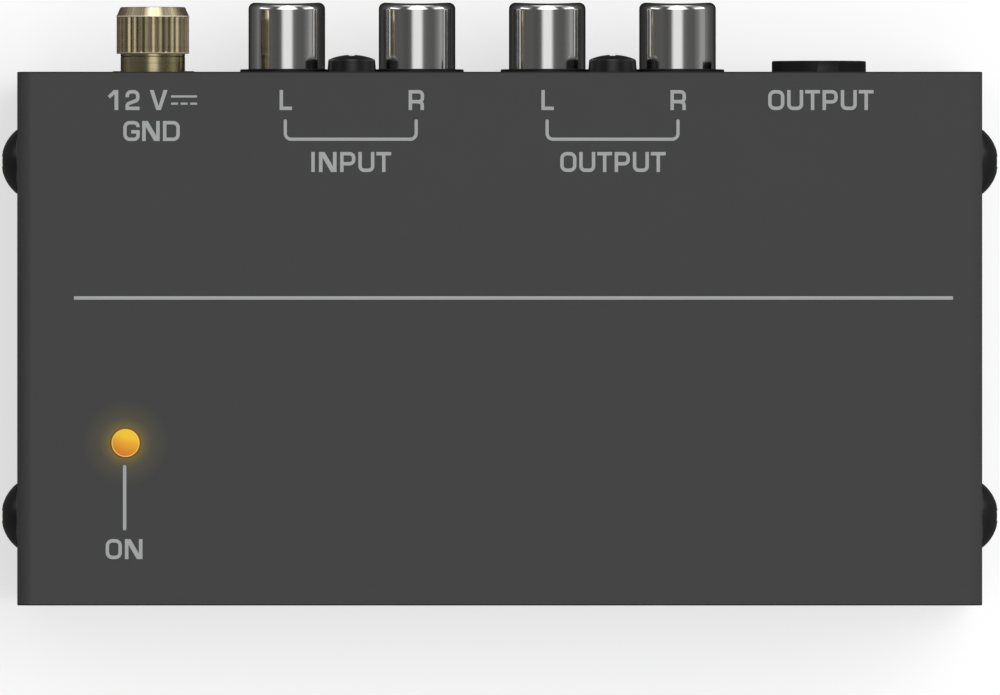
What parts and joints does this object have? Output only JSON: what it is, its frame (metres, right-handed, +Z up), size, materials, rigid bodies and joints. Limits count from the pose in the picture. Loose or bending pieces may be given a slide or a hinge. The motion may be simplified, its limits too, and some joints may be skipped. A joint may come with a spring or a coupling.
{
  "type": "phono preamp",
  "caption": "Small folded-steel box that amplifies a turntable's signal, with phono sockets, a stereo jack, a power inlet and a knurled ground terminal at the rear and a lamp on top.",
  "frame": {"origin": "on the table, under the middle of the whole object", "axes": "+X to the right seen from the front, +Y towards the rear connectors, +Z up"},
  "size_m": [0.1078, 0.0651, 0.0328],
  "materials": {
    "cover_paint": "matte dark grey powder coat",
    "chassis_paint": "matte near-black powder coat",
    "foot_rubber": "soft matte black rubber",
    "black_screw": "black satin plated steel",
    "brass": "turned olive brass",
    "plated_steel": "zinc plated steel",
    "black_moulding": "moulded black thermoplastic",
    "barrel_nickel": "polished nickel plate",
    "white_insulator": "moulded white",
    "red_insulator": "moulded red",
    "contact_plate": "plated brass",
    "spring_metal": "sprung bronze, tin plated",
    "board_laminate": "glass-epoxy laminate with green mask",
    "lamp_lens": "amber epoxy lens, lit",
    "spacer_nylon": "black nylon",
    "can_sleeve": "dark shrink sleeve",
    "film_case": "red box",
    "chip_moulding": "black epoxy",
    "resistor_coat": "pale blue lacquer",
    "wire_sleeve": "green insulation"
  },
  "bodies": {
    "preamp": {"amplifier_chip_left": "chip_moulding", "amplifier_chip_right": "chip_moulding", "board_screws": "plated_steel", "board_standoffs": "plated_steel", "bottom_chassis": "chassis_paint", "circuit_board": "board_laminate", "coupling_capacitor_left": "can_sleeve", "coupling_capacitor_right": "can_sleeve", "cover_screw_front_left": "black_screw", "cover_screw_front_right": "black_screw", "cover_screw_rear_left": "black_screw", "cover_screw_rear_right": "black_screw", "film_capacitor_left_bass": "film_case", "film_capacitor_left_treble": "film_case", "film_capacitor_right_bass": "film_case", "film_capacitor_right_treble": "film_case", "ground_lock_nut": "plated_steel", "ground_lug": "plated_steel", "ground_post": "brass", "ground_wire": "wire_sleeve", "jack_ring_spring": "spring_metal", "jack_sleeve_spring": "spring_metal", "jack_socket": "black_moulding", "jack_tip_spring": "spring_metal", "led_lamp": "lamp_lens", "led_leads": "plated_steel", "led_spacer": "spacer_nylon", "phono_input_block": "black_moulding", "phono_input_left_barrel": "barrel_nickel", "phono_input_left_contact": "contact_plate", "phono_input_left_insulator": "white_insulator", "phono_input_right_barrel": "barrel_nickel", "phono_input_right_contact": "contact_plate", "phono_input_right_insulator": "red_insulator", "phono_input_screw": "black_screw", "phono_output_block": "black_moulding", "phono_output_left_barrel": "barrel_nickel", "phono_output_left_contact": "contact_plate", "phono_output_left_insulator": "white_insulator", "phono_output_right_barrel": "barrel_nickel", "phono_output_right_contact": "contact_plate", "phono_output_right_insulator": "red_insulator", "phono_output_screw": "black_screw", "power_pin": "contact_plate", "power_socket": "black_moulding", "power_spring": "spring_metal", "resistors_left": "resistor_coat", "resistors_right": "resistor_coat", "rubber_foot_front_left": "foot_rubber", "rubber_foot_front_right": "foot_rubber", "rubber_foot_rear_left": "foot_rubber", "rubber_foot_rear_right": "foot_rubber", "supply_capacitor_main": "can_sleeve", "supply_capacitor_reserve": "can_sleeve", "top_cover": "cover_paint", "voltage_regulator": "chip_moulding"},
    "washer": {"ground_washer": "brass"},
    "thumb_nut": {"ground_thumb_nut": "brass"}
  },
  "joints": [
    {"name": "ground_nut_travel", "type": "slide", "parent": "preamp", "child": "washer", "axis": [0, 1, 0], "range_m": [0, 0.0021]},
    {"name": "ground_nut_spin", "type": "hinge", "parent": "washer", "child": "thumb_nut", "pos_m": [-0.03746, 0.02691, 0.0246], "axis": [0, 1, 0], "range_deg": [0, 1080]}
  ],
  "couplings": [
    {"joint": "ground_nut_spin", "follows": "ground_nut_travel", "rad_per_m": 8976}
  ]
}
